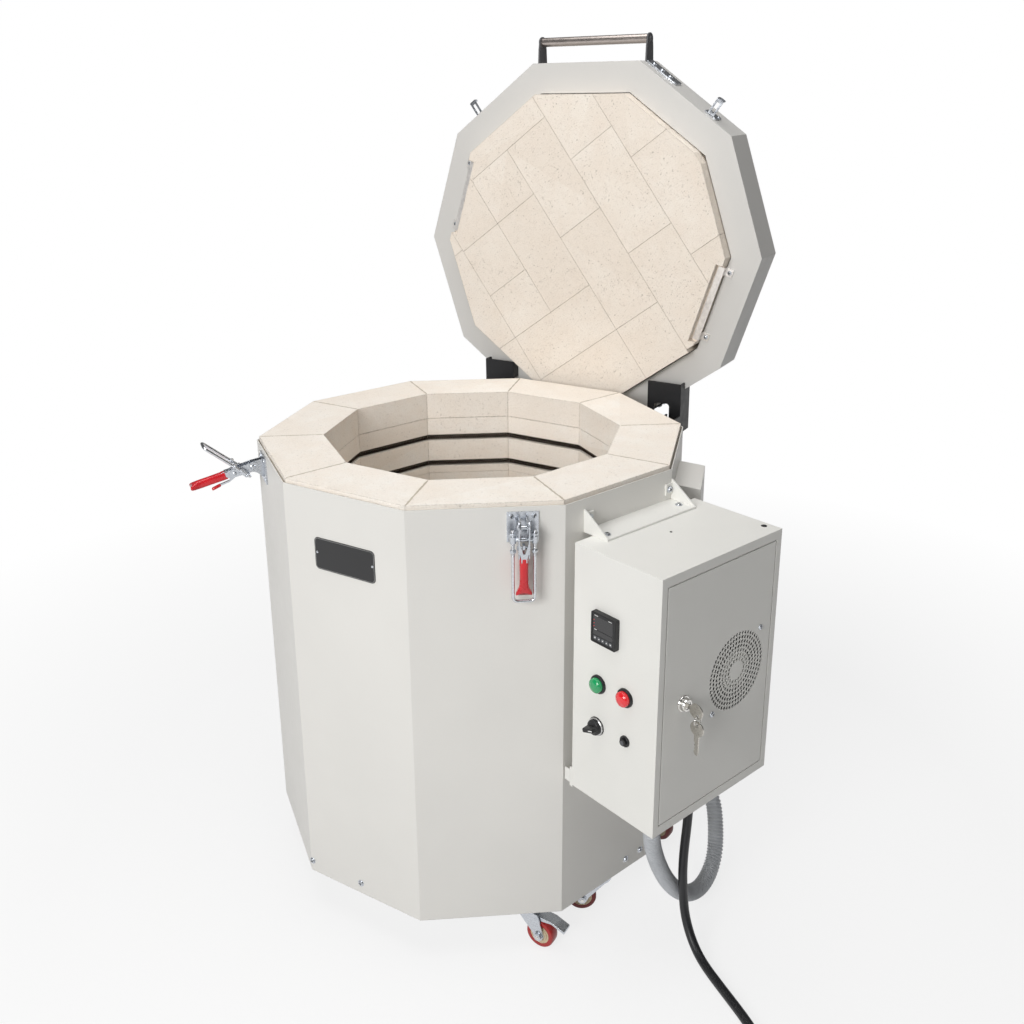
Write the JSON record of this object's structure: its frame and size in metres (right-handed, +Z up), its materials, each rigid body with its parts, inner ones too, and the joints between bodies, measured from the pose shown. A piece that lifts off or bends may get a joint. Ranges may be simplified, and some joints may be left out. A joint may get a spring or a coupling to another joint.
{
  "type": "top-loading kiln",
  "caption": "Ten-sided top-loading electric kiln on castors with a hinged brick lid and a side control box.",
  "frame": {"origin": "centre of the bounding box in plan, on the floor under the castor wheels, without the cords", "axes": "+Z up; +X to the right seen from the front, towards the control box; +Y to the back, where the lid hinges are"},
  "size_m": [1.2403, 0.9615, 1.4614],
  "materials": {
    "casing_sheet": "satin",
    "grey_coat": "satin",
    "black_coat": "matte",
    "tray_steel": "satin",
    "fire_brick": "matte",
    "fibre_board": "matte",
    "element_wire": "satin",
    "porcelain": "matte",
    "zinc_fixings": "satin",
    "bright_tube": "polished",
    "bright_plate": "polished",
    "grey_plastic": "matte",
    "black_plastic": "matte",
    "lamp_lens": "gloss",
    "conduit_skin": "satin",
    "cable_sheath": "matte",
    "plug_body": "matte",
    "wheel_tyre": "satin"
  },
  "bodies": {
    "kiln": {"casing": "casing_sheet", "base_tray": "tray_steel", "chamber_bricks": "fire_brick", "rim_bricks": "fire_brick", "fibre_boards": "fibre_board", "heating_elements": "element_wire", "terminal_bushes": "porcelain", "thermocouple": "porcelain", "terminal_cover": "grey_coat", "body_screws": "zinc_fixings", "shelf_brackets": "grey_coat", "box_shell": "grey_coat", "mounting_plate": "tray_steel", "switchgear": "grey_plastic", "controller": "black_plastic", "switch_bodies": "black_plastic", "lamp_lenses": "lamp_lens", "glands": "black_plastic", "conduit": "conduit_skin", "mains_cable": "cable_sheath", "mains_coil": "cable_sheath", "mains_plug": "plug_body", "hinge_ears": "black_coat", "clamp_bases": "zinc_fixings", "castor_stems": "zinc_fixings"},
    "lid": {"lid_shell": "casing_sheet", "lid_board": "fibre_board", "lid_bricks": "fire_brick", "brick_retainers": "tray_steel", "lid_screws": "zinc_fixings", "handle_brackets": "black_coat", "handle_tube": "bright_tube", "keepers": "zinc_fixings", "lid_hinges": "black_coat"},
    "door": {"box_door": "grey_coat", "door_fixings": "zinc_fixings", "fan_frame": "black_plastic"},
    "fan": {"fan_rotor": "black_plastic"},
    "lock": {"lock_key": "bright_plate"},
    "spare": {"spare_key": "bright_plate"},
    "selector": {"selector_knob": "black_plastic"},
    "button": {"push_button": "black_plastic"},
    "right_lever": {"right_clamp_lever": "zinc_fixings"},
    "left_lever": {"left_clamp_lever": "zinc_fixings"},
    "right_bolt": {"right_clamp_bolt": "zinc_fixings"},
    "left_bolt": {"left_clamp_bolt": "zinc_fixings"},
    "right_trigger": {"right_clamp_trigger": "zinc_fixings"},
    "left_trigger": {"left_clamp_trigger": "zinc_fixings"},
    "fork_1": {"castor_fork_1": "zinc_fixings"},
    "wheel_1": {"castor_wheel_1": "wheel_tyre"},
    "pedal_1": {"brake_pedal_1": "black_coat"},
    "fork_2": {"castor_fork_2": "zinc_fixings"},
    "wheel_2": {"castor_wheel_2": "wheel_tyre"},
    "pedal_2": {"brake_pedal_2": "black_coat"},
    "fork_3": {"castor_fork_3": "zinc_fixings"},
    "wheel_3": {"castor_wheel_3": "wheel_tyre"},
    "fork_4": {"castor_fork_4": "zinc_fixings"},
    "wheel_4": {"castor_wheel_4": "wheel_tyre"},
    "fork_5": {"castor_fork_5": "zinc_fixings"},
    "wheel_5": {"castor_wheel_5": "wheel_tyre"}
  },
  "joints": [
    {"name": "lid_hinge", "type": "hinge", "parent": "kiln", "child": "lid", "pos_m": [-0.09338, 0.26145, 0.736], "axis": [1, 0, 0], "range_deg": [0, 89]},
    {"name": "door_hinge", "type": "hinge", "parent": "kiln", "child": "door", "pos_m": [0.4578, -0.10474, 0.5325], "axis": [0, 0, 1], "range_deg": [0, 100]},
    {"name": "fan_spin", "type": "hinge", "parent": "door", "child": "fan", "pos_m": [0.42447, -0.17172, 0.535], "axis": [0.9511, -0.309, 0], "continuous": true},
    {"name": "lock_turn", "type": "hinge", "parent": "door", "child": "lock", "pos_m": [0.4007, -0.29018, 0.529], "axis": [-0.9511, 0.309, 0], "range_deg": [0, 90]},
    {"name": "spare_key_swing", "type": "hinge", "parent": "lock", "child": "spare", "pos_m": [0.42638, -0.29852, 0.521], "axis": [-0.309, -0.9511, 0], "range_deg": [-15, 60]},
    {"name": "selector_turn", "type": "hinge", "parent": "kiln", "child": "selector", "pos_m": [0.27464, -0.306, 0.459], "axis": [0.309, 0.9511, 0], "range_deg": [0, 90]},
    {"name": "button_press", "type": "slide", "parent": "kiln", "child": "button", "axis": [0.309, 0.9511, 0], "range_m": [0, 0.003], "stiffness_N_per_m": 300},
    {"name": "right_lever_swing", "type": "hinge", "parent": "kiln", "child": "right_lever", "pos_m": [0.16933, -0.33797, 0.764], "axis": [-0.809, -0.5878, 0], "range_deg": [0, 90]},
    {"name": "right_bolt_swing", "type": "hinge", "parent": "right_lever", "child": "right_bolt", "pos_m": [0.16933, -0.33797, 0.746], "axis": [0.809, 0.5878, 0], "range_deg": [-180, 0]},
    {"name": "right_trigger_squeeze", "type": "hinge", "parent": "right_lever", "child": "right_trigger", "pos_m": [0.16933, -0.33797, 0.733], "axis": [-0.809, -0.5878, 0], "range_deg": [0, 5], "stiffness_Nm_per_rad": 0.2},
    {"name": "left_lever_swing", "type": "hinge", "parent": "kiln", "child": "left_lever", "pos_m": [-0.35609, -0.33797, 0.764], "axis": [-0.809, 0.5878, 0], "range_deg": [-77, 13]},
    {"name": "left_bolt_swing", "type": "hinge", "parent": "left_lever", "child": "left_bolt", "pos_m": [-0.3664, -0.35216, 0.75995], "axis": [0.809, -0.5878, 0], "range_deg": [-50, 43]},
    {"name": "left_trigger_squeeze", "type": "hinge", "parent": "left_lever", "child": "left_trigger", "pos_m": [-0.37384, -0.36241, 0.75703], "axis": [-0.809, 0.5878, 0], "range_deg": [0, 5], "stiffness_Nm_per_rad": 0.2},
    {"name": "fork_1_swivel", "type": "hinge", "parent": "kiln", "child": "fork_1", "pos_m": [0.14651, -0.29025, 0.0695], "axis": [0, 0, 1], "continuous": true},
    {"name": "wheel_1_roll", "type": "hinge", "parent": "fork_1", "child": "wheel_1", "pos_m": [0.17451, -0.29025, 0.025], "axis": [0, 1, 0], "continuous": true},
    {"name": "pedal_1_press", "type": "hinge", "parent": "fork_1", "child": "pedal_1", "pos_m": [0.16851, -0.29025, 0.0565], "axis": [0, 1, 0], "range_deg": [0, 12]},
    {"name": "fork_2_swivel", "type": "hinge", "parent": "kiln", "child": "fork_2", "pos_m": [-0.33326, -0.29025, 0.0695], "axis": [0, 0, 1], "continuous": true},
    {"name": "wheel_2_roll", "type": "hinge", "parent": "fork_2", "child": "wheel_2", "pos_m": [-0.34726, -0.266, 0.025], "axis": [-0.866, -0.5, 0], "continuous": true},
    {"name": "pedal_2_press", "type": "hinge", "parent": "fork_2", "child": "pedal_2", "pos_m": [-0.34426, -0.2712, 0.0565], "axis": [-0.866, -0.5, 0], "range_deg": [0, 12]},
    {"name": "fork_3_swivel", "type": "hinge", "parent": "kiln", "child": "fork_3", "pos_m": [0.21572, -0.16698, 0.0695], "axis": [0, 0, 1], "continuous": true},
    {"name": "wheel_3_roll", "type": "hinge", "parent": "fork_3", "child": "wheel_3", "pos_m": [0.19147, -0.18098, 0.025], "axis": [0.5, -0.866, 0], "continuous": true},
    {"name": "fork_4_swivel", "type": "hinge", "parent": "kiln", "child": "fork_4", "pos_m": [0.20888, 0.05557, 0.0695], "axis": [0, 0, 1], "continuous": true},
    {"name": "wheel_4_roll", "type": "hinge", "parent": "fork_4", "child": "wheel_4", "pos_m": [0.23678, 0.05313, 0.025], "axis": [0.0872, 0.9962, 0], "continuous": true},
    {"name": "fork_5_swivel", "type": "hinge", "parent": "kiln", "child": "fork_5", "pos_m": [-0.24643, 0.22129, 0.0695], "axis": [0, 0, 1], "continuous": true},
    {"name": "wheel_5_roll", "type": "hinge", "parent": "fork_5", "child": "wheel_5", "pos_m": [-0.25129, 0.24886, 0.025], "axis": [-0.9848, -0.1736, 0], "continuous": true}
  ]
}
